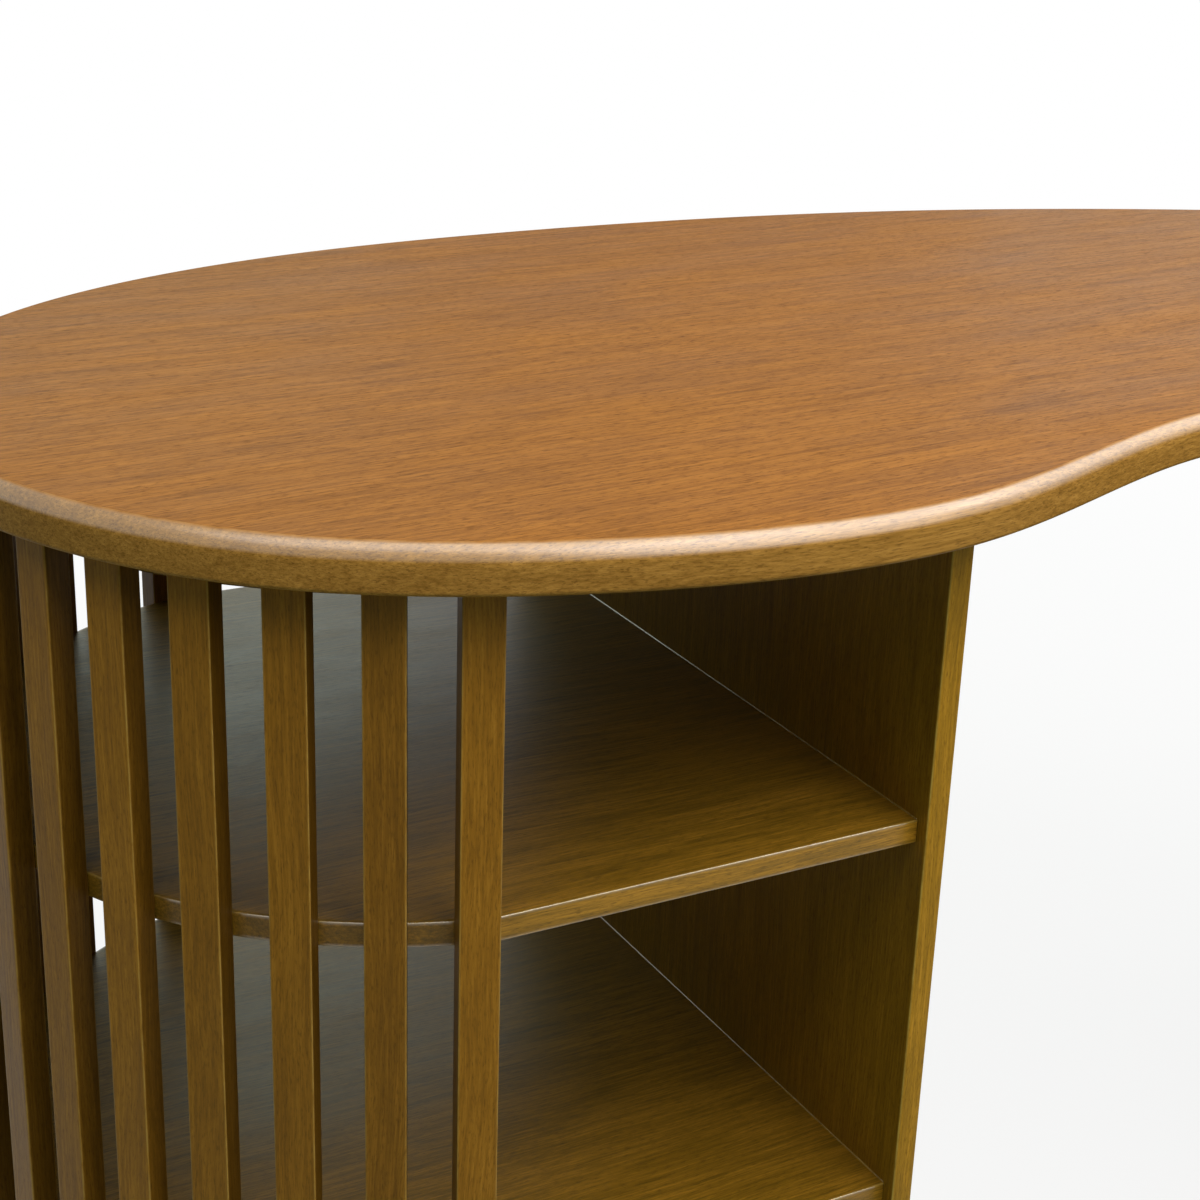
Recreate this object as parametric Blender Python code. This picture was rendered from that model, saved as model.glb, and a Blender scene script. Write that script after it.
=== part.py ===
"""Bean-shaped bar table on two half-round shelf pedestals with upright slats.

Metres, +Z up. The table is symmetric about the plane X = 0; people stand or sit
on its hollow side, towards -Y. The origin lies on the floor, under the middle
of the table's box.
"""
import math

import bmesh
import bpy
import numpy as np
from mathutils import Vector

# Gap that is left between two pieces that touch in the real table.
CLEARANCE = 0.0003

# Boards: shelves, base board, crown board and side panel are cut from one stock.
BOARD_THICKNESS = 0.020
BOARD_ARRIS = 0.001

# Slats, set round the drum as upright bars with their wide face outwards. The
# margin lies between the last slat's edge and the end of the boards' arc.
DRUM_RADIUS = 0.384
SLAT_WIDTH = 0.030
SLAT_DEPTH = 0.0215
SLAT_ARRIS = 0.0015
SLAT_COUNT = 16
SLAT_END_MARGIN = 0.0017

# How far the boards' straight front and back edges cut into the drum's circle.
BOARD_CUT = 0.0087

# Side panel, as a chord on the open side of the drum. It stands proud of the
# boards' front and back edges by the setback.
PANEL_OFFSET = 0.2906
SHELF_SETBACK = 0.0115

# Heights, built up from the floor.
FOOT_HEIGHT = 0.0415
SHELF_PITCH = 0.342
UPPER_OPENING = 0.2485

# Round feet under the base board.
FOOT_RADIUS = 0.024
FOOT_CHAMFER = 0.003
FOOT_INSET = 0.060

# Bolts that pull the top down on the crown boards.
BOLT_RADIUS = 0.003
BOLT_HEAD_RADIUS = 0.0065
BOLT_HEAD_HEIGHT = 0.004
BOLT_TIP_COVER = 0.014
BOLT_HOLE_RUNOUT = 0.002
BOLT_INSET = 0.110
HOLE_CLEARANCE = 0.0005

# Angle from the drum's far side at which its feet and bolts stand.
DRUM_SUPPORT_ANGLE = math.radians(42.0)

# Where the two pedestals stand: half the distance between the drum centres,
# and how far each one is turned to follow the bend of the top.
PEDESTAL_HALF_SPREAD = 0.707
PEDESTAL_TURN = math.radians(12.0)

# Table top. The overhangs are measured outwards from the slats' outer faces, in
# directions from the drum's centre: 0 degrees points to the side panel.
TOP_THICKNESS = 0.036
TOP_OVERHANGS = (
    (62.0, 0.178),
    (95.0, 0.056),
    (130.0, 0.018),
    (165.0, 0.013),
    (200.0, 0.0165),
    (235.0, 0.0305),
    (270.0, 0.0605),
    (297.0, 0.1265),
    (318.0, 0.1965),
)
WAIST_BACK = 0.621
WAIST_FRONT = 0.208
TOP_OUTLINE_POINTS = 180

# Moulded edge of the top: an arc from a crease at the top face down to an
# upright band, and a smaller round under it. On a thin top each of the two
# takes no more than its share of the thickness.
EDGE_ARC_RADIUS = 0.019
EDGE_ARC_SWEEP = math.radians(57.4)
EDGE_ARC_SHARE = 0.5
EDGE_LOWER_RADIUS = 0.004
EDGE_LOWER_SHARE = 0.3
EDGE_ARC_STEPS = 4
EDGE_LOWER_STEPS = 3

# Sides of the round solids.
DRUM_ARC_STEPS = 36
FOOT_SIDES = 24
BOLT_SIDES = 16

# Edges that bend more than this are sharp and take the arris.
SHARP_ANGLE = math.radians(30.0)

# Sizes that follow from the ones above.
BOARD_RADIUS = DRUM_RADIUS - SLAT_DEPTH - CLEARANCE
BOARD_HALF_DEPTH = BOARD_RADIUS - BOARD_CUT
BOARD_ARC_HALF_SWEEP = math.asin(BOARD_HALF_DEPTH / BOARD_RADIUS)
BOARD_END = PANEL_OFFSET - CLEARANCE
PANEL_DEPTH = 2 * (BOARD_HALF_DEPTH + SHELF_SETBACK)
SLAT_HALF_SWEEP = BOARD_ARC_HALF_SWEEP - (SLAT_WIDTH / 2 + SLAT_END_MARGIN) / BOARD_RADIUS
SLAT_STEP = 2 * SLAT_HALF_SWEEP / (SLAT_COUNT - 1)
BASE_BOARD_Z = FOOT_HEIGHT
LOWER_SHELF_Z = BASE_BOARD_Z + SHELF_PITCH
UPPER_SHELF_Z = LOWER_SHELF_Z + SHELF_PITCH
CROWN_BOARD_Z = UPPER_SHELF_Z + BOARD_THICKNESS + UPPER_OPENING
TOP_Z = CROWN_BOARD_Z + BOARD_THICKNESS
UPRIGHT_HEIGHT = TOP_Z - BASE_BOARD_Z - CLEARANCE
BOLT_HOLE_DEPTH = TOP_THICKNESS - BOLT_TIP_COVER


def clear_scene():
    for item in list(bpy.data.objects):
        bpy.data.objects.remove(item, do_unlink=True)


def make_material(name, colour, roughness, metallic=0.0):
    material = bpy.data.materials.new(name)
    material.use_nodes = True
    shader = material.node_tree.nodes["Principled BSDF"]
    shader.inputs["Base Color"].default_value = (*colour, 1.0)
    shader.inputs["Roughness"].default_value = roughness
    shader.inputs["Metallic"].default_value = metallic
    return material


def make_object(name, mesh, material, parent=None, location=(0.0, 0.0, 0.0), turn=0.0):
    item = bpy.data.objects.new(name, mesh)
    bpy.context.scene.collection.objects.link(item)
    if not mesh.materials:
        mesh.materials.append(material)
    item.parent = parent
    item.location = location
    item.rotation_euler = (0.0, 0.0, turn)
    return item


def finish_mesh(shape, name):
    bmesh.ops.recalc_face_normals(shape, faces=shape.faces)
    mesh = bpy.data.meshes.new(name)
    shape.to_mesh(mesh)
    shape.free()
    mesh.shade_smooth()
    mesh.set_sharp_from_angle(angle=SHARP_ANGLE)
    return mesh


def stack_rings(name, rings):
    """Closed solid through rings of equally many points, with a flat cap at each end."""
    shape = bmesh.new()
    loops = [[shape.verts.new(point) for point in ring] for ring in rings]
    count = len(rings[0])
    for lower, upper in zip(loops, loops[1:]):
        for i in range(count):
            j = (i + 1) % count
            shape.faces.new((lower[i], lower[j], upper[j], upper[i]))
    shape.faces.new(list(reversed(loops[0])))
    shape.faces.new(loops[-1])
    return finish_mesh(shape, name)


def turned_mesh(name, profile, sides):
    """Round solid from (radius, height) pairs, bottom to top, with flat ends."""
    rings = []
    for radius, height in profile:
        angles = [2 * math.pi * i / sides for i in range(sides)]
        rings.append([(radius * math.cos(a), radius * math.sin(a), height) for a in angles])
    return stack_rings(name, rings)


def bevel_edges(item, width):
    bevel = item.modifiers.new("arris", "BEVEL")
    bevel.width = width
    bevel.segments = 1
    bevel.limit_method = "ANGLE"
    bevel.angle_limit = SHARP_ANGLE


def cut_hole(item, name, radius, bottom, top, location, parent=None):
    """Subtract an upright cylinder from the item."""
    mesh = turned_mesh(name, [(radius, bottom), (radius, top)], BOLT_SIDES)
    cutter = bpy.data.objects.new(name, mesh)
    bpy.context.scene.collection.objects.link(cutter)
    cutter.parent = parent
    cutter.location = location
    cutter.hide_render = True
    cutter.display_type = "WIRE"
    cut = item.modifiers.new(name, "BOOLEAN")
    cut.operation = "DIFFERENCE"
    cut.solver = "EXACT"
    cut.object = cutter


def polar(radius, angle):
    return Vector((radius * math.cos(angle), radius * math.sin(angle), 0.0))


def support_points(inset):
    """Four places inside a board's outline, the same distance in from its edges."""
    across = BOARD_HALF_DEPTH - inset
    along = BOARD_END - inset
    drum = BOARD_RADIUS - inset
    return [
        Vector((along, -across, 0.0)),
        Vector((along, across, 0.0)),
        polar(drum, math.pi - DRUM_SUPPORT_ANGLE),
        polar(drum, math.pi + DRUM_SUPPORT_ANGLE),
    ]


def board_outline():
    """Half-round outline: a straight edge at the side panel, an arc behind the slats."""
    points = [(BOARD_END, -BOARD_HALF_DEPTH), (BOARD_END, BOARD_HALF_DEPTH)]
    for i in range(DRUM_ARC_STEPS + 1):
        angle = math.pi + BOARD_ARC_HALF_SWEEP * (2 * i / DRUM_ARC_STEPS - 1)
        points.append((BOARD_RADIUS * math.cos(angle), BOARD_RADIUS * math.sin(angle)))
    return points


def board_mesh(name):
    outline = board_outline()
    rings = [[(x, y, z) for x, y in outline] for z in (0.0, BOARD_THICKNESS)]
    return stack_rings(name, rings)


def bar_mesh(name, depth, width, height):
    """Upright bar: its outer face at x = 0, its depth towards -X, centred on Y."""
    corners = [(-depth, -width / 2), (0.0, -width / 2), (0.0, width / 2), (-depth, width / 2)]
    rings = [[(x, y, z) for x, y in corners] for z in (0.0, height)]
    return stack_rings(name, rings)


def pedestal_place(side):
    """Drum centre and turn of the left (-1) or right (+1) pedestal, before the box is centred."""
    turn = PEDESTAL_TURN if side < 0 else math.pi - PEDESTAL_TURN
    return Vector((side * PEDESTAL_HALF_SPREAD, 0.0, 0.0)), turn


def closed_curve(knots, count):
    """Smooth closed curve through the knots, as evenly spaced points.

    It is a periodic cubic with continuous curvature; the second derivatives at
    the knots come from one linear system.
    """
    knots = np.array(knots)
    size = len(knots)
    step = np.sqrt(np.linalg.norm(np.roll(knots, -1, axis=0) - knots, axis=1))
    system = np.zeros((size, size))
    target = np.zeros((size, 2))
    for i in range(size):
        after = (i + 1) % size
        system[i, i - 1] += step[i - 1]
        system[i, i] += 2 * (step[i - 1] + step[i])
        system[i, after] += step[i]
        leaving = (knots[after] - knots[i]) / step[i]
        arriving = (knots[i] - knots[i - 1]) / step[i - 1]
        target[i] = 6 * (leaving - arriving)
    bend = np.linalg.solve(system, target)
    dense = []
    samples = 40
    for i in range(size):
        after = (i + 1) % size
        for k in range(samples):
            t = step[i] * k / samples
            rest = step[i] - t
            point = (bend[i] * rest ** 3 + bend[after] * t ** 3) / (6 * step[i])
            point = point + (knots[i] / step[i] - bend[i] * step[i] / 6) * rest
            point = point + (knots[after] / step[i] - bend[after] * step[i] / 6) * t
            dense.append(point)
    dense = np.array(dense + dense[:1])
    length = np.concatenate([[0.0], np.cumsum(np.linalg.norm(np.diff(dense, axis=0), axis=1))])
    even = np.linspace(0.0, length[-1], count, endpoint=False)
    return np.stack([np.interp(even, length, dense[:, axis]) for axis in (0, 1)], axis=1)


def top_outline():
    """Outline of the top: the left half's knots, mirrored in X = 0, counterclockwise."""
    centre, turn = pedestal_place(-1)
    lobe = []
    for degrees, overhang in TOP_OVERHANGS:
        point = centre + polar(DRUM_RADIUS + overhang, math.radians(degrees) + turn)
        lobe.append((point.x, point.y))
    mirrored = [(-x, y) for x, y in reversed(lobe)]
    knots = [(0.0, WAIST_BACK)] + lobe + [(0.0, -WAIST_FRONT)] + mirrored
    return closed_curve(knots, TOP_OUTLINE_POINTS)


def edge_profile():
    """(Inset, height) pairs of the moulded edge, from the underside up to the top face."""
    profile = []
    lower = min(EDGE_LOWER_RADIUS, EDGE_LOWER_SHARE * TOP_THICKNESS)
    for i in range(EDGE_LOWER_STEPS + 1):
        angle = math.radians(90.0) * (1 - i / EDGE_LOWER_STEPS)
        profile.append((lower * (1 - math.cos(angle)), lower * (1 - math.sin(angle))))
    widest = EDGE_ARC_SHARE * TOP_THICKNESS / math.sin(EDGE_ARC_SWEEP)
    upper = min(EDGE_ARC_RADIUS, widest)
    start = TOP_THICKNESS - upper * math.sin(EDGE_ARC_SWEEP)
    for i in range(EDGE_ARC_STEPS + 1):
        angle = EDGE_ARC_SWEEP * i / EDGE_ARC_STEPS
        profile.append((upper * (1 - math.cos(angle)), start + upper * math.sin(angle)))
    return profile


def top_mesh(outline):
    along = np.roll(outline, -1, axis=0) - np.roll(outline, 1, axis=0)
    along = along / np.linalg.norm(along, axis=1)[:, None]
    inward = np.stack([-along[:, 1], along[:, 0]], axis=1)
    rings = []
    for inset, height in edge_profile():
        ring = outline + inward * inset
        rings.append([(x, y, height) for x, y in ring])
    return stack_rings("top", rings)


def bolt_mesh():
    seat = BOLT_HEAD_HEIGHT
    through = 2 * CLEARANCE + BOARD_THICKNESS
    tip = seat + through + BOLT_HOLE_DEPTH - BOLT_HOLE_RUNOUT
    profile = [
        (BOLT_HEAD_RADIUS, 0.0),
        (BOLT_HEAD_RADIUS, seat),
        (BOLT_RADIUS, seat),
        (BOLT_RADIUS, tip),
    ]
    return turned_mesh("bolt", profile, BOLT_SIDES)


def foot_mesh():
    height = FOOT_HEIGHT - CLEARANCE
    profile = [
        (FOOT_RADIUS - FOOT_CHAMFER, 0.0),
        (FOOT_RADIUS, FOOT_CHAMFER),
        (FOOT_RADIUS, height),
    ]
    return turned_mesh("foot", profile, FOOT_SIDES)


def build_pedestal(name, frame, materials):
    boards = (
        ("base_board", BASE_BOARD_Z),
        ("lower_shelf", LOWER_SHELF_Z),
        ("upper_shelf", UPPER_SHELF_Z),
        ("crown_board", CROWN_BOARD_Z - CLEARANCE),
    )
    bolt_places = support_points(BOLT_INSET)
    for part, height in boards:
        mesh = board_mesh(part)
        board = make_object(f"{name}_{part}", mesh, materials["board"], frame, (0.0, 0.0, height))
        bevel_edges(board, BOARD_ARRIS)
        if part == "crown_board":
            for i, place in enumerate(bolt_places, 1):
                hole = (place.x, place.y, height)
                label = f"{name}_crown_hole_{i}"
                radius = BOLT_RADIUS + HOLE_CLEARANCE
                cut_hole(board, label, radius, -BOARD_THICKNESS, 2 * BOARD_THICKNESS, hole, frame)

    panel_mesh = bar_mesh("side_panel", BOARD_THICKNESS, PANEL_DEPTH, UPRIGHT_HEIGHT)
    outer = (PANEL_OFFSET + BOARD_THICKNESS, 0.0, BASE_BOARD_Z)
    panel = make_object(f"{name}_side_panel", panel_mesh, materials["panel"], frame, outer)
    bevel_edges(panel, BOARD_ARRIS)

    slat_mesh = bar_mesh("slat", SLAT_DEPTH, SLAT_WIDTH, UPRIGHT_HEIGHT)
    for i in range(SLAT_COUNT):
        angle = math.pi + (i - (SLAT_COUNT - 1) / 2) * SLAT_STEP
        place = polar(DRUM_RADIUS, angle) + Vector((0.0, 0.0, BASE_BOARD_Z))
        slat = make_object(f"{name}_slat_{i + 1:02d}", slat_mesh, materials["slat"], frame, place, angle)
        bevel_edges(slat, SLAT_ARRIS)

    foot = foot_mesh()
    for i, place in enumerate(support_points(FOOT_INSET), 1):
        make_object(f"{name}_foot_{i}", foot, materials["foot"], frame, place)

    bolt = bolt_mesh()
    bolt_z = CROWN_BOARD_Z - 2 * CLEARANCE - BOLT_HEAD_HEIGHT
    for i, place in enumerate(bolt_places, 1):
        make_object(f"{name}_bolt_{i}", bolt, materials["bolt"], frame, (place.x, place.y, bolt_z))


def build_top(outline, material):
    item = make_object("top", top_mesh(outline), material, None, (0.0, 0.0, TOP_Z))
    for name, frame in PEDESTALS.items():
        for i, place in enumerate(support_points(BOLT_INSET), 1):
            radius = BOLT_RADIUS + HOLE_CLEARANCE
            label = f"{name}_top_hole_{i}"
            mouth = (place.x, place.y, TOP_Z)
            cut_hole(item, label, radius, -BOLT_HOLE_DEPTH, BOLT_HOLE_DEPTH, mouth, frame)


clear_scene()
MATERIALS = {
    "top": make_material("top_walnut", (0.36, 0.15, 0.048), 0.38),
    "board": make_material("board_walnut", (0.16, 0.085, 0.032), 0.36),
    "panel": make_material("panel_walnut", (0.15, 0.075, 0.022), 0.38),
    "slat": make_material("slat_walnut", (0.14, 0.072, 0.022), 0.40),
    "foot": make_material("foot_dark_plastic", (0.025, 0.022, 0.020), 0.55),
    "bolt": make_material("bolt_zinc_steel", (0.55, 0.54, 0.52), 0.35, 1.0),
}
OUTLINE = top_outline()
BACK_SHIFT = -(OUTLINE[:, 1].min() + OUTLINE[:, 1].max()) / 2
OUTLINE = OUTLINE + np.array([0.0, BACK_SHIFT])
PEDESTALS = {}
for SIDE_NAME, SIDE in (("left", -1), ("right", 1)):
    CENTRE, TURN = pedestal_place(SIDE)
    FRAME = bpy.data.objects.new(f"{SIDE_NAME}_pedestal", None)
    bpy.context.scene.collection.objects.link(FRAME)
    FRAME.location = CENTRE + Vector((0.0, BACK_SHIFT, 0.0))
    FRAME.rotation_euler = (0.0, 0.0, TURN)
    PEDESTALS[SIDE_NAME] = FRAME
    build_pedestal(SIDE_NAME, FRAME, MATERIALS)
build_top(OUTLINE, MATERIALS["top"])
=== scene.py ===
import math

import bpy
import numpy as np
from mathutils import Matrix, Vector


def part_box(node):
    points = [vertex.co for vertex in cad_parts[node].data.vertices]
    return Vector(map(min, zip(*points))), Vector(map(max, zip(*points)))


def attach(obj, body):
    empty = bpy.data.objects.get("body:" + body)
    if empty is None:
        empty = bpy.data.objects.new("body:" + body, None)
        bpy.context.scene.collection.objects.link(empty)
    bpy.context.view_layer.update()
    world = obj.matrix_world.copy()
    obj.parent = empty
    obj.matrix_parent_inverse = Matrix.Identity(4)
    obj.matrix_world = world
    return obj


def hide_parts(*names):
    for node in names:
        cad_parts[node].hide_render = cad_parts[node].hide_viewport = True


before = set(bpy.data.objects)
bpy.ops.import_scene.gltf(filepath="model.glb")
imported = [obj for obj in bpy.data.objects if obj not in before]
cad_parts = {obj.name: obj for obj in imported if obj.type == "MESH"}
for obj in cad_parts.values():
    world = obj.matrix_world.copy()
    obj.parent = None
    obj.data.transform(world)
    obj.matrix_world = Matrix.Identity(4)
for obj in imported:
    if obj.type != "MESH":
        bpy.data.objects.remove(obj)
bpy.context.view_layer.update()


# Feet.
# Eight round glides of dark moulded plastic lift the base boards off the floor.
# Each is pressed on a pin under its board and rubs along its lower rim.
FOOT_RADIUS = 0.024
FOOT_SIDES = 64
FOOT_RIM_ROUND = 0.003
FOOT_RIM_STEPS = 5
FOOT_SOLE_INSET = 0.006
FOOT_SOLE_LIFT = 0.0012
FOOT_SCUFF_HEIGHT = 0.010
FOOT_SCUFF_PATCHES = (0.45, 0.7)
FOOT_GRAIN_SCALE = 900.0
FOOT_PATCH_SCALE = 60.0
FOOT_BLACK = (0.018, 0.016, 0.015, 1.0)
FOOT_GREY = (0.036, 0.032, 0.029, 1.0)
FOOT_SCUFF = (0.11, 0.10, 0.09, 1.0)
FOOT_WORN_RANGE = (0.3, 1.4)
FOOT_ROUGHNESS = (0.48, 0.75)
NOISE_MIDDLE = (0.3, 0.7)
FACING = 0.9
FLAT = 0.999


def start_material(name):
    material = bpy.data.materials.new(name)
    material.use_nodes = True
    return material, material.node_tree


def add_node(tree, kind, links=None, **settings):
    """A node with its settings and its inputs; an input is a value or another node's output."""
    node = tree.nodes.new(kind)
    for key, value in settings.items():
        setattr(node, key, value)
    for key, value in (links or {}).items():
        if isinstance(value, bpy.types.NodeSocket):
            tree.links.new(value, node.inputs[key])
        else:
            node.inputs[key].default_value = value
    return node


def noise(tree, place, scale, detail=2.0, roughness=0.5):
    links = {"Vector": place, "Scale": scale, "Detail": detail, "Roughness": roughness}
    return add_node(tree, "ShaderNodeTexNoise", links).outputs["Fac"]


def spread(tree, value, low, high, to_low=0.0, to_high=1.0):
    """Stretch a value from one range to another, held at both ends."""
    links = {0: value, 1: low, 2: high, 3: to_low, 4: to_high}
    return add_node(tree, "ShaderNodeMapRange", links, clamp=True).outputs[0]


def combine(tree, operation, first, second):
    return add_node(tree, "ShaderNodeMath", {0: first, 1: second}, operation=operation).outputs[0]


def blend(tree, factor, first, second, mode="MIX"):
    links = {0: factor, 6: first, 7: second}
    settings = {"data_type": "RGBA", "blend_type": mode}
    return add_node(tree, "ShaderNodeMix", links, **settings).outputs[2]


def plastic_material():
    """Dark plastic with a fine grain, cloudy in tone and scuffed pale near the floor."""
    material, tree = start_material("foot_plastic")
    shader = tree.nodes["Principled BSDF"]
    place = add_node(tree, "ShaderNodeTexCoord").outputs["Object"]
    grain = noise(tree, place, FOOT_GRAIN_SCALE, detail=3.0)
    patches = noise(tree, place, FOOT_PATCH_SCALE, detail=4.0)
    height = add_node(tree, "ShaderNodeSeparateXYZ", {0: place}).outputs["Z"]
    low = spread(tree, height, FOOT_SCUFF_HEIGHT, 0.0)
    scuff = combine(tree, "MULTIPLY", low, spread(tree, patches, *FOOT_SCUFF_PATCHES))
    plain = blend(tree, spread(tree, patches, *NOISE_MIDDLE), FOOT_BLACK, FOOT_GREY)
    tree.links.new(blend(tree, scuff, plain, FOOT_SCUFF), shader.inputs["Base Color"])
    worn = combine(tree, "ADD", grain, scuff)
    rough = spread(tree, worn, *FOOT_WORN_RANGE, *FOOT_ROUGHNESS)
    tree.links.new(rough, shader.inputs["Roughness"])
    bump = {"Strength": 0.25, "Distance": 0.0003, "Height": grain}
    tree.links.new(add_node(tree, "ShaderNodeBump", bump).outputs[0], shader.inputs["Normal"])
    return material


def deselect_all():
    if bpy.context.object and bpy.context.object.mode != "OBJECT":
        bpy.ops.object.mode_set(mode="OBJECT")
    bpy.ops.object.select_all(action="DESELECT")


def edit(piece, kind="FACE"):
    """Edit mode on one piece with nothing in it selected."""
    deselect_all()
    piece.select_set(True)
    bpy.context.view_layer.objects.active = piece
    bpy.ops.object.mode_set(mode="EDIT")
    bpy.ops.mesh.select_mode(type=kind)
    bpy.ops.mesh.select_all(action="DESELECT")


def pick_faces(piece, test):
    """Select the faces whose centre and normal pass the test, and stay in edit mode."""
    bpy.ops.mesh.select_all(action="DESELECT")
    bpy.ops.object.mode_set(mode="OBJECT")
    for face in piece.data.polygons:
        face.select = bool(test(face.center, face.normal))
    bpy.ops.object.mode_set(mode="EDIT")


def smooth(piece, degrees):
    deselect_all()
    piece.select_set(True)
    bpy.context.view_layer.objects.active = piece
    bpy.ops.object.shade_smooth_by_angle(angle=math.radians(degrees))


def placed_copy(model, name, place, turn=0.0):
    """A copy with its own mesh, turned about Z and set at its place inside the mesh."""
    piece = model.copy()
    piece.data = model.data.copy()
    piece.name = name
    bpy.context.scene.collection.objects.link(piece)
    piece.data.transform(Matrix.Translation(place) @ Matrix.Rotation(turn, 4, "Z"))
    return piece


def seat_of(node, lift=0.0):
    """The middle of the node's CAD box in plan, at its lowest height plus a lift."""
    low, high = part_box(node)
    return (low[0] + high[0]) / 2, (low[1] + high[1]) / 2, low[2] + lift


def dress(piece, node):
    """The piece stands for its CAD node and rides on the table's one body."""
    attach(piece, "root")
    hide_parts(node)


foot_low, foot_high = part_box("left_foot_1")
foot_height = foot_high[2] - foot_low[2]
deselect_all()
bpy.ops.mesh.primitive_cylinder_add(
    vertices=FOOT_SIDES, radius=FOOT_RADIUS, depth=foot_height,
    location=(0.0, 0.0, foot_height / 2))
foot_model = bpy.context.object
deselect_all()
foot_model.select_set(True)
bpy.ops.object.transform_apply(location=True)
edit(foot_model)
pick_faces(foot_model, lambda centre, normal: normal.z < -FACING)
bpy.ops.mesh.bevel(offset=FOOT_RIM_ROUND, segments=FOOT_RIM_STEPS, affect="EDGES")
pick_faces(foot_model, lambda centre, normal: normal.z < -FLAT)
bpy.ops.mesh.inset(thickness=FOOT_SOLE_INSET, depth=0.0)
bpy.ops.mesh.inset(thickness=FOOT_SOLE_LIFT, depth=-FOOT_SOLE_LIFT)
smooth(foot_model, degrees=35)
foot_model.data.materials.append(plastic_material())
for side in ("left", "right"):
    for number in range(1, 5):
        node = f"{side}_foot_{number}"
        dress(placed_copy(foot_model, f"{node}_glide", seat_of(node)), node)
bpy.data.objects.remove(foot_model)


# Base boards and shelves.
# Half-round boards of walnut-stained wood, cut straight at the side panel, with a thin
# bead in that corner, and to an arc behind the slats. Their arrises are rubbed pale, and
# that pale colour is partly wear and partly painted highlight.
BOARD_RADIUS = 0.3622
BOARD_SIDES = 288
BOARD_HALF_DEPTH = 0.3535
BOARD_END = 0.2903
BOARD_THICKNESS = 0.020
BOARD_ROUND = 0.0011
BOARD_SUPPORT = 0.003
CUT_SLACK = 0.0001
# The boards' straight front and back edges are paler, partly their own edge wood and partly painted
# light.
BOARD_EDGE_TONE_AND_LIGHT = 0.45
ROUND_SEGMENTS = 3
SHARP_EDGE = math.radians(10.0)
JOINT_BEAD = 0.0006
BEAD_ROUND = JOINT_BEAD * 0.15
WEAR_AND_HIGHLIGHT_SPREAD = 1.35
EDGE_FACING = 0.98
UPRIGHT = 0.01
DRUM_CENTRE_X = 0.707
DRUM_CENTRE_Y = -0.0931
PEDESTAL_TURN = math.radians(12.0)
PEDESTALS = {
    "left": ((-DRUM_CENTRE_X, DRUM_CENTRE_Y), PEDESTAL_TURN),
    "right": ((DRUM_CENTRE_X, DRUM_CENTRE_Y), math.pi - PEDESTAL_TURN),
}
BOARD_STAINS = ((0.112, 0.062, 0.0045), (0.214, 0.110, 0.0078), (0.340, 0.170, 0.0160))

# Each layer of the figure: its length along the grain and its width across it, in metres.
CLOUD_SIZE = (0.16, 0.045)
FIGURE_SIZE = (0.24, 0.009)
STREAK_SIZE = (0.060, 0.0020)
PORE_SIZE = (0.0075, 0.0009)
FIBRE_SIZE = (0.0060, 0.0007)
CLOUD_SHARE = 0.16
FIGURE_SHARE = 0.24
STREAK_SHARE = 0.60
STAIN_RANGE = (0.38, 0.62)
COARSE_LENGTHENING = 0.7
DRIFT_SCALE = 2.2
DRIFT_REACH = (0.035, 0.035, 0.035)
PORE_RANGE = (0.52, 0.68)
PORE_TINT = (0.45, 0.42, 0.40)
PORE_ROUGH_RANGE = (0.5, 0.75)
PORE_DULLING = 0.10
CLOUD_POLISH = 0.03
CLOUD_DULLING = 0.05
WEAR_AND_HIGHLIGHT_RANGE = (0.15, 0.52)
WEAR_PATCH_SCALE = 45.0
WEAR_PATCH_RANGE = (0.34, 0.60)
WEAR_PATCHINESS = (0.25, 1.0)
# Tint of rubbed arrises and the crease: partly wear, partly painted highlight.
WEAR_AND_HIGHLIGHT_TINT = (1.12, 1.46, 3.2)
FILM_SCALE = 260.0
FIBRE_RELIEF = 0.7
PORE_RELIEF = -1.2
FILM_RELIEF = 0.8
LACQUER_IOR = 1.95
ARRIS_LACQUER_RANGE = (0.10, 0.40)
ARRIS_LACQUER_ROUGHNESS = 0.12
RIM_LACQUER_ROUGHNESS = 0.28
RIM_LACQUER_LEAST = 0.03
# Paler, more golden tint of the moulded edge below the crease: partly the edge's own tone, partly
# painted light.
RIM_TINT_AND_LIGHT = (1.30, 1.70, 2.40, 1.0)
NO_TINT = (1.0, 1.0, 1.0, 1.0)


def tinted(colour, factors):
    return (*(part * factor for part, factor in zip(colour, factors)), 1.0)


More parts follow.
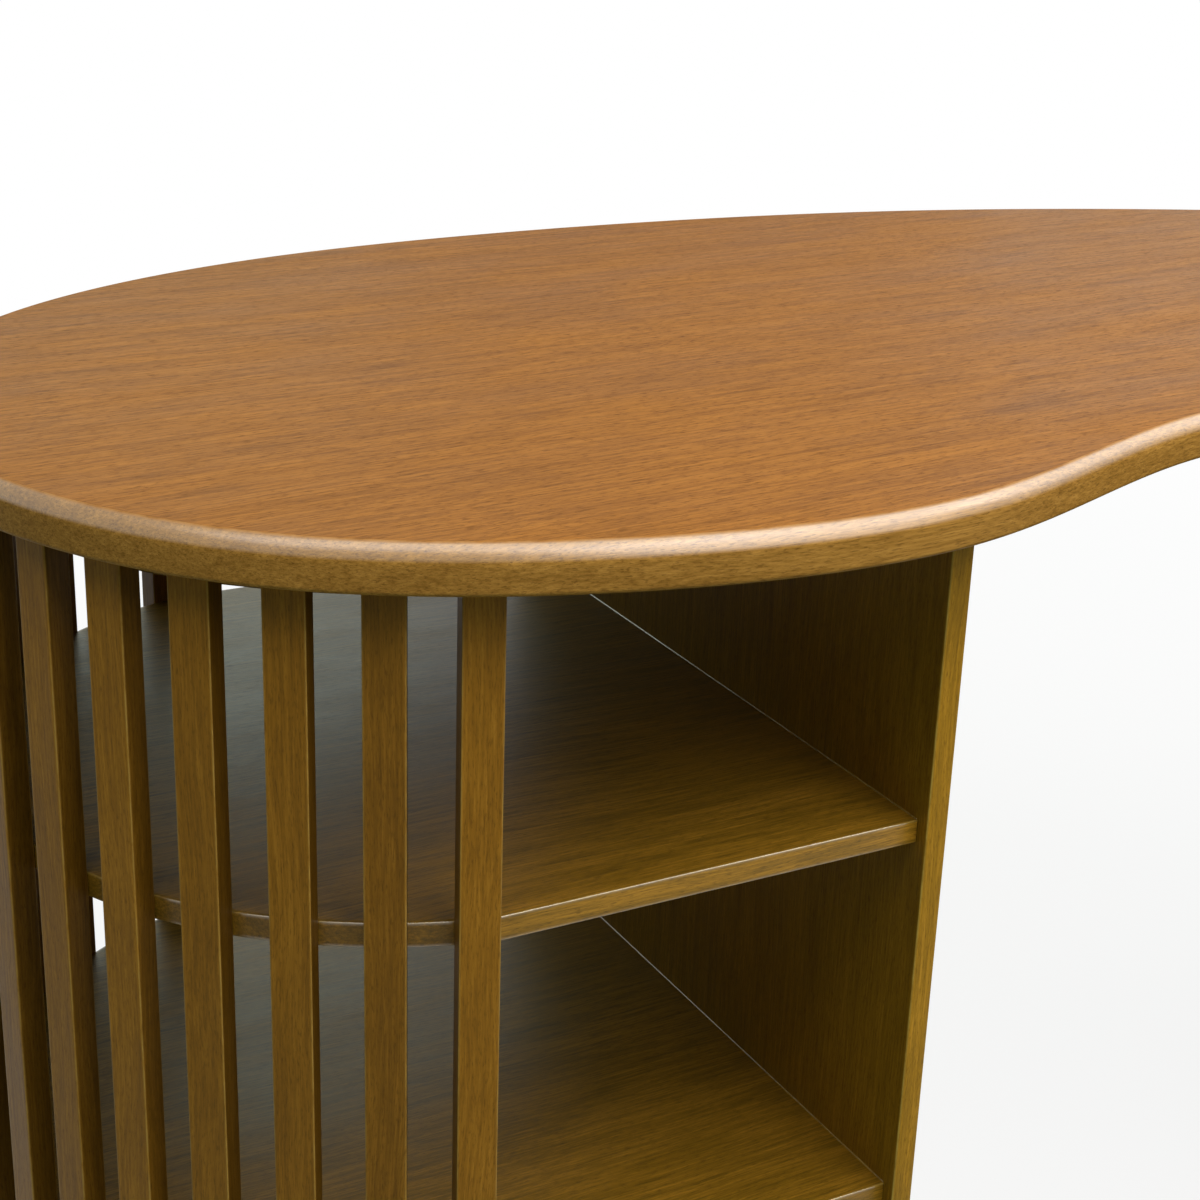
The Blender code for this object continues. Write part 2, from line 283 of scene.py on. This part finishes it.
def stained_wood(name, stains, grain_axis, turn=0.0, roughness=0.40, specular=0.12,
                 coarse=1.0, pore=0.55, rim=None, bright_arris=False):
    """Walnut stain under satin lacquer: cloudy stain, streaks, pores and rubbed arrises, whose
    pale colour is partly wear and partly painted highlight.

    The stains are dark, middle and light. The rim gives four heights: where the lacquer
    of a moulded edge starts and is full, and where it ends in the crease and at the face.
    Below the crease the edge is tinted paler and more golden, partly its own tone and
    partly painted light.
    """
    dark, middle, light = stains
    material, tree = start_material(name)
    shader = tree.nodes["Principled BSDF"]
    place = add_node(tree, "ShaderNodeTexCoord").outputs["Object"]
    shader.inputs["Specular IOR Level"].default_value = specular
    turned = add_node(tree, "ShaderNodeMapping", {"Vector": place, "Rotation": (0.0, 0.0, -turn)})
    wander = {"Vector": turned.outputs[0], "Scale": DRIFT_SCALE, "Detail": 2.0}
    drift = add_node(tree, "ShaderNodeTexNoise", wander)
    sway = {0: drift.outputs["Color"], 1: DRIFT_REACH, 2: turned.outputs[0]}
    swayed = add_node(tree, "ShaderNodeVectorMath", sway, operation="MULTIPLY_ADD").outputs[0]

    def stretched(size):
        length, width = size
        along = 1.0 / (length * coarse ** COARSE_LENGTHENING)
        across = 1.0 / width
        lying = (along, across / coarse, across)
        standing = (across, across, along)
        links = {"Vector": swayed, "Scale": lying if grain_axis == "X" else standing}
        return add_node(tree, "ShaderNodeMapping", links).outputs[0]

    clouds = noise(tree, stretched(CLOUD_SIZE), 1.0, detail=4.0, roughness=0.6)
    figure = noise(tree, stretched(FIGURE_SIZE), 1.0, detail=4.0, roughness=0.6)
    streaks = noise(tree, stretched(STREAK_SIZE), 1.0, detail=4.0, roughness=0.7)
    pores = noise(tree, stretched(PORE_SIZE), 1.0, detail=3.0, roughness=0.6)
    fibres = noise(tree, stretched(FIBRE_SIZE), 1.0, detail=2.0, roughness=0.6)

    cloudy = combine(tree, "MULTIPLY", clouds, CLOUD_SHARE)
    figured = combine(tree, "MULTIPLY", figure, FIGURE_SHARE)
    streaked = combine(tree, "MULTIPLY", streaks, STREAK_SHARE)
    tone = combine(tree, "ADD", combine(tree, "ADD", cloudy, figured), streaked)
    ramp = add_node(tree, "ShaderNodeValToRGB", {0: spread(tree, tone, *STAIN_RANGE)})
    ramp.color_ramp.elements[0].color = (*dark, 1.0)
    ramp.color_ramp.elements[1].color = (*light, 1.0)
    ramp.color_ramp.elements.new(0.5).color = (*middle, 1.0)
    pore_depth = spread(tree, pores, *PORE_RANGE, 0.0, pore)
    colour = blend(tree, pore_depth, ramp.outputs[0], tinted(dark, PORE_TINT))

    # The tone attribute pales or darkens the stain; on the picked faces and some slats this is painted
    # light and painted shade.
    piece_tone_and_light = add_node(tree, "ShaderNodeAttribute", attribute_name="tone").outputs["Fac"]
    shade = combine(tree, "ADD", 1.0, piece_tone_and_light)
    grey = add_node(tree, "ShaderNodeCombineColor", {0: shade, 1: shade, 2: shade}).outputs[0]
    colour = blend(tree, 1.0, colour, grey, "MULTIPLY")

    if rim:
        lacquer_start, lacquer_full, crease, face = rim
        height = add_node(tree, "ShaderNodeSeparateXYZ", {0: place}).outputs["Z"]
        # The moulded edge is tinted paler and golden here, partly as painted light.
        golden_and_lit = blend(tree, spread(tree, height, crease, face), RIM_TINT_AND_LIGHT, NO_TINT)
        colour = blend(tree, 1.0, colour, golden_and_lit, "MULTIPLY")

    wear_and_highlight = add_node(tree, "ShaderNodeAttribute", attribute_name="wear_and_highlight").outputs["Fac"]
    worn_patches = noise(tree, place, WEAR_PATCH_SCALE, detail=4.0, roughness=0.65)
    patchy = spread(tree, worn_patches, *WEAR_PATCH_RANGE, *WEAR_PATCHINESS)
    rubbed_and_highlit = combine(tree, "MULTIPLY", spread(tree, wear_and_highlight, *WEAR_AND_HIGHLIGHT_RANGE), patchy)
    # Rubbed arrises and the bead turn pale here: partly wear, partly painted highlight.
    colour = blend(tree, rubbed_and_highlit, colour, tinted(light, WEAR_AND_HIGHLIGHT_TINT))
    tree.links.new(colour, shader.inputs["Base Color"])

    rough = combine(
        tree, "ADD",
        spread(tree, clouds, *NOISE_MIDDLE, roughness - CLOUD_POLISH, roughness + CLOUD_DULLING),
        spread(tree, pores, *PORE_ROUGH_RANGE, 0.0, PORE_DULLING))
    tree.links.new(rough, shader.inputs["Roughness"])
    film = noise(tree, place, FILM_SCALE, detail=2.0, roughness=0.5)
    relief = combine(
        tree, "ADD",
        combine(tree, "MULTIPLY", fibres, FIBRE_RELIEF),
        combine(tree, "MULTIPLY", pore_depth, PORE_RELIEF))
    relief = combine(tree, "ADD", relief, combine(tree, "MULTIPLY", film, FILM_RELIEF))
    bump = {"Strength": 0.24, "Distance": 0.00022, "Height": relief}
    surface = add_node(tree, "ShaderNodeBump", bump).outputs[0]
    tree.links.new(surface, shader.inputs["Normal"])

    if rim:
        lacquer = combine(
            tree, "MULTIPLY",
            spread(tree, height, lacquer_start, lacquer_full, RIM_LACQUER_LEAST, 1.0),
            spread(tree, height, crease, face, 1.0, 0.0))
    elif bright_arris:
        lacquer = spread(tree, wear_and_highlight, *ARRIS_LACQUER_RANGE)
    if rim or bright_arris:
        tree.links.new(lacquer, shader.inputs["Coat Weight"])
        shader.inputs["Coat IOR"].default_value = LACQUER_IOR
        coat_roughness = RIM_LACQUER_ROUGHNESS if rim else ARRIS_LACQUER_ROUGHNESS
        shader.inputs["Coat Roughness"].default_value = coat_roughness
        tree.links.new(surface, shader.inputs["Coat Normal"])
    return material


def mark_wear_and_highlight(piece, distances, reach):
    """Rub the vertices that lie close to two surfaces at once, to pale them: partly wear,
    partly painted highlight on the arrises.

    The distances hold one row for each surface and one column for each vertex.
    """
    nearest = np.sort(np.abs(distances), axis=0)
    wear_and_highlight = np.clip(1.0 - (nearest[0] + nearest[1]) / reach, 0.0, 1.0)
    layer = piece.data.attributes.new("wear_and_highlight", "FLOAT", "POINT")
    layer.data.foreach_set("value", wear_and_highlight.astype(np.float32))


def mark_tone_and_light(piece, value, edge_test, edge_value):
    """How much paler the stain is on the piece, and how much more on the faces that the test
    picks; these amounts carry painted light and painted shade as well as the stain's own tone.
    """
    tones = [value + (edge_value if edge_test(face.center, face.normal) else 0.0)
             for face in piece.data.polygons]
    layer = piece.data.attributes.new("tone", "FLOAT", "FACE")
    layer.data.foreach_set("value", np.array(tones, np.float32))


def corners_of(piece):
    """The x, y and z of every vertex, one row each."""
    places = np.empty(len(piece.data.vertices) * 3, np.float32)
    piece.data.vertices.foreach_get("co", places)
    return places.reshape(-1, 3).T


deselect_all()
bpy.ops.mesh.primitive_cylinder_add(
    vertices=BOARD_SIDES, radius=BOARD_RADIUS, depth=BOARD_THICKNESS)
board_model = bpy.context.object
edit(board_model)
arc_end = -math.sqrt(BOARD_RADIUS ** 2 - BOARD_HALF_DEPTH ** 2)
bpy.ops.mesh.select_all(action="SELECT")
bpy.ops.mesh.bisect(
    plane_co=(arc_end, 0.0, 0.0), plane_no=(1.0, 0.0, 0.0), use_fill=True, clear_outer=True)
pick_faces(
    board_model, lambda centre, normal: abs(normal.x) > FLAT and centre.x > arc_end - CUT_SLACK)
bpy.ops.mesh.extrude_region_move(TRANSFORM_OT_translate={"value": (BOARD_END - arc_end, 0.0, 0.0)})
bpy.ops.mesh.select_all(action="DESELECT")
bpy.ops.mesh.select_mode(type="EDGE")
bpy.ops.mesh.edges_select_sharp(sharpness=SHARP_EDGE)
bpy.ops.mesh.bevel(
    offset=BOARD_ROUND, segments=ROUND_SEGMENTS, affect="EDGES", clamp_overlap=False)
bpy.ops.mesh.select_mode(type="FACE")
for board_side in (
        lambda centre, normal: normal.z > FLAT,
        lambda centre, normal: normal.z < -FLAT,
        lambda centre, normal: abs(normal.z) < UPRIGHT):
    pick_faces(board_model, board_side)
    bpy.ops.mesh.inset(thickness=BOARD_SUPPORT, depth=0.0)
deselect_all()
bpy.ops.mesh.primitive_cylinder_add(
    vertices=4, radius=JOINT_BEAD, depth=2 * BOARD_HALF_DEPTH - 4 * BOARD_ROUND,
    location=(BOARD_END, 0.0, BOARD_THICKNESS / 2), rotation=(math.pi / 2, 0.0, 0.0))
bead = bpy.context.object
edit(bead)
bpy.ops.mesh.select_all(action="SELECT")
bpy.ops.mesh.bevel(offset=BEAD_ROUND, segments=1, affect="EDGES")
bpy.ops.object.mode_set(mode="OBJECT")
bpy.ops.object.transform_apply(location=True, rotation=True)
board_model.select_set(True)
bpy.context.view_layer.objects.active = board_model
bpy.ops.object.join()
smooth(board_model, degrees=40)
x, y, z = corners_of(board_model)
from_arc = BOARD_RADIUS - np.hypot(x, y)
from_straight_sides = np.minimum(BOARD_HALF_DEPTH - np.abs(y), BOARD_END - x)
mark_wear_and_highlight(board_model, np.array([
    z - BOARD_THICKNESS / 2,
    z + BOARD_THICKNESS / 2,
    np.where(x < arc_end, from_arc, from_straight_sides),
]), BOARD_ROUND * WEAR_AND_HIGHLIGHT_SPREAD)
mark_tone_and_light(board_model, 0.0, lambda centre, normal: abs(normal.y) > EDGE_FACING, BOARD_EDGE_TONE_AND_LIGHT)
for side, (centre, turn) in PEDESTALS.items():
    board_wood = stained_wood(
        f"{side}_board_walnut", BOARD_STAINS, "X", turn,
        roughness=0.33, specular=0.26, bright_arris=True)
    for part in ("base_board", "lower_shelf", "upper_shelf"):
        node = f"{side}_{part}"
        low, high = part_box(node)
        place = (centre[0], centre[1], (low[2] + high[2]) / 2)
        board = placed_copy(board_model, f"{node}_wood", place, turn)
        board.data.materials.append(board_wood)
        dress(board, node)
    # The crown board hides under the top, so its CAD solid stays and takes the wood.
    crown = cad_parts[f"{side}_crown_board"]
    crown.data.materials.clear()
    crown.data.materials.append(board_wood)
bpy.data.objects.remove(board_model)


# Side panels.
# One upright board of paler stained wood closes the inner side of each pedestal, from
# the base board to the top. The boards butt against it. Its edges are paler still, partly
# its own paler edge wood and partly painted light.
PANEL_OFFSET = 0.2906
PANEL_DEPTH = 0.730
# The panel's front and back edges are paler, partly their own edge wood and partly painted light.
PANEL_EDGE_TONE_AND_LIGHT = 0.32
PANEL_STAINS = ((0.215, 0.112, 0.0068), (0.308, 0.159, 0.0100), (0.420, 0.216, 0.0190))
low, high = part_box("left_side_panel")
PANEL_FOOT = low[2]
PANEL_HEIGHT = high[2] - low[2]


def eased_bar(size, rounding, support):
    """A bar, centred, with every arris rounded and a loop beside each arris."""
    deselect_all()
    bpy.ops.mesh.primitive_cube_add(size=1.0)
    bar = bpy.context.object
    edit(bar)
    bpy.ops.mesh.select_all(action="SELECT")
    bpy.ops.transform.resize(value=size)
    bpy.ops.mesh.bevel(offset=rounding, segments=ROUND_SEGMENTS, affect="EDGES")
    pick_faces(bar, lambda centre, normal: max(abs(part) for part in normal) > FLAT)
    bpy.ops.mesh.inset(thickness=support, depth=0.0, use_individual=True)
    smooth(bar, degrees=40)
    x, y, z = corners_of(bar)
    mark_wear_and_highlight(bar, np.array([
        size[0] / 2 - np.abs(x),
        size[1] / 2 - np.abs(y),
        size[2] / 2 - np.abs(z),
    ]), rounding * WEAR_AND_HIGHLIGHT_SPREAD)
    return bar


def upright_place(centre, reach, angle):
    """The middle of an upright piece, out from the drum's centre and over the base board."""
    return (centre[0] + reach * math.cos(angle), centre[1] + reach * math.sin(angle),
            PANEL_FOOT + PANEL_HEIGHT / 2)


panel_model = eased_bar((BOARD_THICKNESS, PANEL_DEPTH, PANEL_HEIGHT), BOARD_ROUND, BOARD_SUPPORT)
panel_model.data.materials.append(stained_wood("panel_walnut", PANEL_STAINS, "Z"))
mark_tone_and_light(panel_model, 0.0, lambda centre, normal: abs(normal.y) > EDGE_FACING, PANEL_EDGE_TONE_AND_LIGHT)
for side, (centre, turn) in PEDESTALS.items():
    node = f"{side}_side_panel"
    place = upright_place(centre, PANEL_OFFSET + BOARD_THICKNESS / 2, turn)
    dress(placed_copy(panel_model, f"{node}_wood", place, turn), node)
bpy.data.objects.remove(panel_model)


# Slats.
# Sixteen upright bars of stained wood stand round each drum, glued and pinned to the
# boards' arcs. The stain takes a little differently on each, and the paler slats at the
# front left are partly painted light. Their sides are darkened as painted shade.
DRUM_RADIUS = 0.384
SLAT_WIDTH = 0.030
SLAT_DEPTH = 0.0215
SLAT_ROUND = 0.0009
SLAT_SUPPORT = 0.0022
SLAT_COUNT = 16
SLAT_STEP = math.radians(9.97)
SLAT_STAINS = ((0.180, 0.080, 0.0060), (0.262, 0.118, 0.0092), (0.360, 0.168, 0.0175))
# Slat sides are darkened here as painted shade, for the light their neighbours block.
SLAT_SIDE_PAINTED_SHADE = -0.52
# Each slat's own stain tone; the paler tones at the front left are partly painted light, for light
# from the left front.
SLAT_TONES_AND_LIGHT = (
    0.06, -0.05, 0.02, -0.10, 0.08, 0.0, -0.06, 0.05,
    -0.02, 0.12, 0.18, 0.22, 0.02, -0.01, -0.19, 0.14,
)

slat_model = eased_bar((SLAT_DEPTH, SLAT_WIDTH, PANEL_HEIGHT), SLAT_ROUND, SLAT_SUPPORT)
slat_model.data.materials.append(stained_wood("slat_walnut", SLAT_STAINS, "Z"))
for side, (centre, turn) in PEDESTALS.items():
    for index in range(SLAT_COUNT):
        angle = turn + math.pi + (index - (SLAT_COUNT - 1) / 2) * SLAT_STEP
        place = upright_place(centre, DRUM_RADIUS - SLAT_DEPTH / 2, angle)
        node = f"{side}_slat_{index + 1:02d}"
        slat = placed_copy(slat_model, f"{node}_wood", place, angle)
        across = (-math.sin(angle), math.cos(angle))
        mark_tone_and_light(
            slat, SLAT_TONES_AND_LIGHT[index],
            lambda centre, normal: abs(normal.x * across[0] + normal.y * across[1]) > EDGE_FACING,
            SLAT_SIDE_PAINTED_SHADE)
        dress(slat, node)
bpy.data.objects.remove(slat_model)


# Bolts.
# Zinc-plated screws with round heads and hexagon sockets pull the top down on the
# crown boards. Only their heads show, under the crown boards.
BOLT_RADIUS = 0.003
BOLT_HEAD_RADIUS = 0.0065
BOLT_HEAD_HEIGHT = 0.004
BOLT_HEAD_ROUND = 0.0012
BOLT_HEAD_STEPS = 4
BOLT_SIDES = 48
SOCKET_SIDES = 6
SOCKET_RADIUS = 0.0026
SOCKET_DEPTH = 0.0024
ZINC_PATCH_SCALE = 700.0
ZINC_FINE_SCALE = 4000.0
ZINC_DULL = (0.50, 0.49, 0.46, 1.0)
ZINC_BRIGHT = (0.66, 0.66, 0.64, 1.0)
ZINC_ROUGHNESS = (0.26, 0.44)


def zinc_material():
    """Zinc plating, cloudy in tone and in polish."""
    material, tree = start_material("bolt_zinc")
    shader = tree.nodes["Principled BSDF"]
    shader.inputs["Metallic"].default_value = 1.0
    place = add_node(tree, "ShaderNodeTexCoord").outputs["Object"]
    patches = noise(tree, place, ZINC_PATCH_SCALE, detail=3.0)
    fine = noise(tree, place, ZINC_FINE_SCALE, detail=2.0)
    colour = blend(tree, spread(tree, patches, *NOISE_MIDDLE), ZINC_DULL, ZINC_BRIGHT)
    tree.links.new(colour, shader.inputs["Base Color"])
    rough = spread(tree, patches, *NOISE_MIDDLE, *ZINC_ROUGHNESS)
    tree.links.new(rough, shader.inputs["Roughness"])
    bump = {"Strength": 0.2, "Distance": 0.0001, "Height": fine}
    tree.links.new(add_node(tree, "ShaderNodeBump", bump).outputs[0], shader.inputs["Normal"])
    return material


low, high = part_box("left_bolt_1")
shank_length = high[2] - low[2] - BOLT_HEAD_HEIGHT
deselect_all()
bpy.ops.mesh.primitive_cylinder_add(
    vertices=BOLT_SIDES, radius=BOLT_HEAD_RADIUS, depth=BOLT_HEAD_HEIGHT)
bolt_model = bpy.context.object
edit(bolt_model)
pick_faces(bolt_model, lambda centre, normal: normal.z < -FACING)
bpy.ops.mesh.bevel(offset=BOLT_HEAD_ROUND, segments=BOLT_HEAD_STEPS, affect="EDGES")
pick_faces(bolt_model, lambda centre, normal: normal.z > FACING)
bpy.ops.mesh.inset(thickness=BOLT_HEAD_RADIUS - BOLT_RADIUS, depth=0.0)
bpy.ops.mesh.extrude_region_move(TRANSFORM_OT_translate={"value": (0.0, 0.0, shank_length)})
deselect_all()
bpy.ops.mesh.primitive_cylinder_add(
    vertices=SOCKET_SIDES, radius=SOCKET_RADIUS, depth=2 * SOCKET_DEPTH,
    location=(0.0, 0.0, -BOLT_HEAD_HEIGHT / 2))
socket = bpy.context.object
cut = bolt_model.modifiers.new("socket", "BOOLEAN")
cut.operation = "DIFFERENCE"
cut.solver = "EXACT"
cut.object = socket
deselect_all()
bpy.context.view_layer.objects.active = bolt_model
bolt_model.select_set(True)
bpy.ops.object.modifier_apply(modifier="socket")
bpy.data.objects.remove(socket)
smooth(bolt_model, degrees=35)
bolt_model.data.materials.append(zinc_material())
for side in PEDESTALS:
    for number in range(1, 5):
        node = f"{side}_bolt_{number}"
        place = seat_of(node, BOLT_HEAD_HEIGHT / 2)
        dress(placed_copy(bolt_model, f"{node}_screw", place), node)
bpy.data.objects.remove(bolt_model)


# Top.
# A thick bean-shaped board of walnut-stained wood. Its moulded edge has a small round
# below and a large lacquered one above, which meets the satin face in a rubbed crease.
# The crease's pale line is partly wear and partly painted highlight.
LOWER_ROUND = 0.004
UPPER_ROUND = 0.019
UPPER_SWEEP = math.radians(57.4)
ROUND_STEPS = 10
CREASE_SOFTNESS = 0.0011
FACE_SUPPORT = 0.0015
WELD = 0.00001
OUTLINE_SLACK = 0.0004
OUTLINE_STEPS = 3
TOP_GRAIN_TURN = math.radians(16.0)
TOP_STAINS = ((0.194, 0.072, 0.0085), (0.292, 0.113, 0.0155), (0.390, 0.157, 0.0250))
top_low, top_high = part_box("top")
TOP_FACE = top_high[2]
TOP_BASE = top_low[2]
LACQUER_START = TOP_BASE + 0.0236
LACQUER_FULL = TOP_BASE + 0.0262
CREASE_HEIGHT = TOP_FACE - 0.0014
SATIN_HEIGHT = TOP_FACE - 0.0002
# Heights of the crease ring whose pale line is partly wear and partly painted highlight.
RUBBED_AND_HIGHLIT_FROM = 1.2
RUBBED_AND_HIGHLIT_TO = 0.1

outline = placed_copy(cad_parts["top"], "top_wood", (0.0, 0.0, 0.0))
edit(outline, "VERT")
bpy.ops.mesh.select_all(action="SELECT")
bpy.ops.mesh.remove_doubles(threshold=WELD)
bpy.ops.mesh.select_all(action="DESELECT")
bpy.ops.object.mode_set(mode="OBJECT")
for vertex in outline.data.vertices:
    vertex.select = abs(vertex.co.z - TOP_BASE - LOWER_ROUND) > OUTLINE_SLACK
bpy.ops.object.mode_set(mode="EDIT")
bpy.ops.mesh.delete(type="VERT")
bpy.ops.object.mode_set(mode="OBJECT")
bpy.ops.object.convert(target="CURVE")
bpy.ops.object.mode_set(mode="EDIT")
bpy.ops.curve.select_all(action="SELECT")
bpy.ops.curve.spline_type_set(type="BEZIER")
bpy.ops.curve.handle_type_set(type="AUTOMATIC")
bpy.ops.object.mode_set(mode="OBJECT")
outline.data.resolution_u = OUTLINE_STEPS
bpy.ops.object.convert(target="MESH")
edit(outline, "VERT")
bpy.ops.mesh.select_all(action="SELECT")
bpy.ops.mesh.remove_doubles(threshold=WELD)
bpy.ops.mesh.select_all(action="SELECT")
bpy.ops.mesh.edge_face_add()
bpy.ops.mesh.select_mode(type="FACE")
bpy.ops.mesh.select_all(action="SELECT")
band = (TOP_FACE - UPPER_ROUND * math.sin(UPPER_SWEEP)) - (TOP_BASE + LOWER_ROUND)
bpy.ops.mesh.extrude_region_move(TRANSFORM_OT_translate={"value": (0.0, 0.0, band)})
bpy.ops.mesh.select_all(action="SELECT")
bpy.ops.mesh.normals_make_consistent(inside=False)


def round_over(radius, sweep, steps):
    """Inset and raise the chosen face along an arc that starts upright."""
    for step in range(steps):
        before = sweep * step / steps
        after = sweep * (step + 1) / steps
        inward = radius * (math.cos(before) - math.cos(after))
        outward = radius * (math.sin(after) - math.sin(before))
        bpy.ops.mesh.inset(thickness=inward, depth=outward)


pick_faces(outline, lambda centre, normal: normal.z > FACING)
soft_drop = CREASE_SOFTNESS * math.sin((math.pi / 2 - UPPER_SWEEP) / 2)
cut_sweep = math.asin((UPPER_ROUND * math.sin(UPPER_SWEEP) - soft_drop) / UPPER_ROUND)
round_over(UPPER_ROUND, cut_sweep, ROUND_STEPS)
for drop_share in (0.75, 0.25):
    bpy.ops.mesh.inset(thickness=CREASE_SOFTNESS * 0.5, depth=soft_drop * drop_share)
bpy.ops.mesh.inset(thickness=FACE_SUPPORT, depth=0.0)
pick_faces(outline, lambda centre, normal: normal.z < -FACING)
round_over(LOWER_ROUND, math.radians(90.0), ROUND_STEPS)
bpy.ops.mesh.inset(thickness=FACE_SUPPORT, depth=0.0)
smooth(outline, degrees=40)
x, y, z = corners_of(outline)
# Mark the crease ring to be paled: partly wear, partly painted highlight.
rubbed_and_highlit_ring = (z > TOP_FACE - soft_drop * RUBBED_AND_HIGHLIT_FROM) & (z < TOP_FACE - soft_drop * RUBBED_AND_HIGHLIT_TO)
layer = outline.data.attributes.new("wear_and_highlight", "FLOAT", "POINT")
layer.data.foreach_set("value", rubbed_and_highlit_ring.astype(np.float32))
outline.data.materials.clear()
outline.data.materials.append(stained_wood(
    "top_walnut", TOP_STAINS, "X", TOP_GRAIN_TURN,
    roughness=0.44, specular=0.03, coarse=1.6, pore=0.65,
    rim=(LACQUER_START, LACQUER_FULL, CREASE_HEIGHT, SATIN_HEIGHT)))
dress(outline, "top")


# Floor.
# A plain white floor, wide enough to fill the view. The eye and the gloss see it white
# with the table's faint shadow, while matt wood gets only a dim grey-green from it.
FLOOR_HALF = 60.0
FLOOR_MATT = (0.31, 0.37, 0.26, 1.0)
FLOOR_SHADED = (0.95, 0.95, 0.95, 1.0)
WHITE = (1.0, 1.0, 1.0, 1.0)
SHADOW_REACH = (1.0, 3.6)
WHITE_SHARE = (0.87, 1.0)


def background_rays(tree):
    """One for the rays that see the white background: from the camera, mirrored or let through."""
    path = add_node(tree, "ShaderNodeLightPath")
    mirrored = combine(
        tree, "MAXIMUM", path.outputs["Is Glossy Ray"], path.outputs["Is Transmission Ray"])
    return combine(tree, "MAXIMUM", path.outputs["Is Camera Ray"], mirrored)


def floor_material():
    material, tree = start_material("white_sweep")
    output = tree.nodes["Material Output"]
    tree.nodes.remove(tree.nodes["Principled BSDF"])
    seen = background_rays(tree)
    matt_colour = blend(tree, seen, FLOOR_MATT, FLOOR_SHADED)
    matt = add_node(tree, "ShaderNodeBsdfDiffuse", {"Color": matt_colour})
    white = add_node(tree, "ShaderNodeEmission", {"Color": WHITE, "Strength": 1.0})
    place = add_node(tree, "ShaderNodeTexCoord").outputs["Object"]
    reach = add_node(tree, "ShaderNodeVectorMath", {0: place}, operation="LENGTH").outputs["Value"]
    share = combine(tree, "MULTIPLY", seen, spread(tree, reach, *SHADOW_REACH, *WHITE_SHARE))
    mix = add_node(
        tree, "ShaderNodeMixShader", {0: share, 1: matt.outputs[0], 2: white.outputs[0]})
    tree.links.new(mix.outputs[0], output.inputs["Surface"])
    return material


deselect_all()
bpy.ops.mesh.primitive_plane_add(size=2 * FLOOR_HALF)
floor = bpy.context.object
floor.name = "floor"
floor.data.materials.append(floor_material())


# Lights.
# Three warm soft boxes hang over the table, and two pale windows stand behind it. The
# low strip and the side box show in gloss only, as the light band on the moulded edge.
WARM = (1.0, 0.95, 0.91)
SOFT_BOXES = (
    # name, place, aim, width and height, power, colour, whether it lights matt surfaces
    ("front_box", (-1.00, -1.35, 3.10), (-1.00, -1.15, 1.04), (3.4, 1.5), 40.0,
     (1.0, 0.95, 0.90), True),
    ("right_box", (1.10, -1.75, 3.05), (-0.3, -0.4, 1.04), (4.2, 1.9), 94.0, WARM, True),
    ("low_strip", (1.43, -2.86, 1.95), (-0.3, -0.4, 1.04), (2.8, 1.1), 19.0, WARM, False),
    ("side_box", (2.22, 0.0, 2.34), (0.0, -0.3, 1.04), (2.0, 1.6), 20.0,
     (1.0, 0.96, 0.93), False),
    ("overhead_box", (0.1, 1.1, 3.20), (0.1, 0.6, 1.04), (2.6, 1.4), 21.0,
     (1.0, 0.96, 0.92), True),
    ("back_right_window", (2.65, 3.44, 2.05), (0.2, 0.2, 1.05), (2.1, 1.3), 11.0,
     (0.62, 0.94, 1.0), True),
    ("back_left_window", (-1.54, 3.41, 2.65), (-0.75, 0.0, 0.62), (3.4, 1.7), 21.0,
     (0.74, 1.0, 0.76), True),
)

for name, place, aim, (width, height), power, colour, lights_matt in SOFT_BOXES:
    lamp = bpy.data.lights.new(name, "AREA")
    lamp.shape = "RECTANGLE"
    lamp.size = width
    lamp.size_y = height
    lamp.energy = power
    lamp.color = colour
    holder = bpy.data.objects.new(name, lamp)
    bpy.context.scene.collection.objects.link(holder)
    away = Matrix.Translation(place).to_translation() - Matrix.Translation(aim).to_translation()
    holder.matrix_world = Matrix.Translation(place) @ away.to_track_quat("Z", "Y").to_matrix().to_4x4()
    holder.visible_camera = False
    holder.visible_diffuse = lights_matt


# Room.
# The same white as the floor's to the eye and to gloss, and to matt surfaces the weak
# green-grey of a room that is mostly in shade.
ROOM_DIM = (0.56, 0.93, 0.56, 1.0)
ROOM_DIM_STRENGTH = 0.088

world = bpy.data.worlds.new("room")
bpy.context.scene.world = world
world.use_nodes = True
tree = world.node_tree
tree.nodes.remove(tree.nodes["Background"])
dim = add_node(tree, "ShaderNodeBackground", {"Color": ROOM_DIM, "Strength": ROOM_DIM_STRENGTH})
white = add_node(tree, "ShaderNodeBackground", {"Color": WHITE, "Strength": 1.0})
sides = {0: background_rays(tree), 1: dim.outputs[0], 2: white.outputs[0]}
mix = add_node(tree, "ShaderNodeMixShader", sides)
tree.links.new(mix.outputs[0], tree.nodes["World Output"].inputs["Surface"])


# Camera.
# It stands to the left in front of the table, over the height of its face, and looks
# down on the left pedestal, as in the photograph.
CAMERA_PLACE = (-1.0513, -1.7881, 1.5124)
CAMERA_YAW = 0.2976
CAMERA_PITCH = 0.3630
CAMERA_ROLL = 0.0340
CAMERA_SENSOR = 36.0
CAMERA_LENS = 65.40
camera_data = bpy.data.cameras.new("camera")
camera_data.sensor_width = CAMERA_SENSOR
camera_data.lens = CAMERA_LENS
camera = bpy.data.objects.new("camera", camera_data)
bpy.context.scene.collection.objects.link(camera)
camera.matrix_world = (
    Matrix.Translation(CAMERA_PLACE)
    @ Matrix.Rotation(-CAMERA_YAW, 4, "Z")
    @ Matrix.Rotation(math.pi / 2 - CAMERA_PITCH, 4, "X")
    @ Matrix.Rotation(CAMERA_ROLL, 4, "Z")
)
bpy.context.scene.camera = camera
bpy.context.scene.view_settings.view_transform = "Standard"
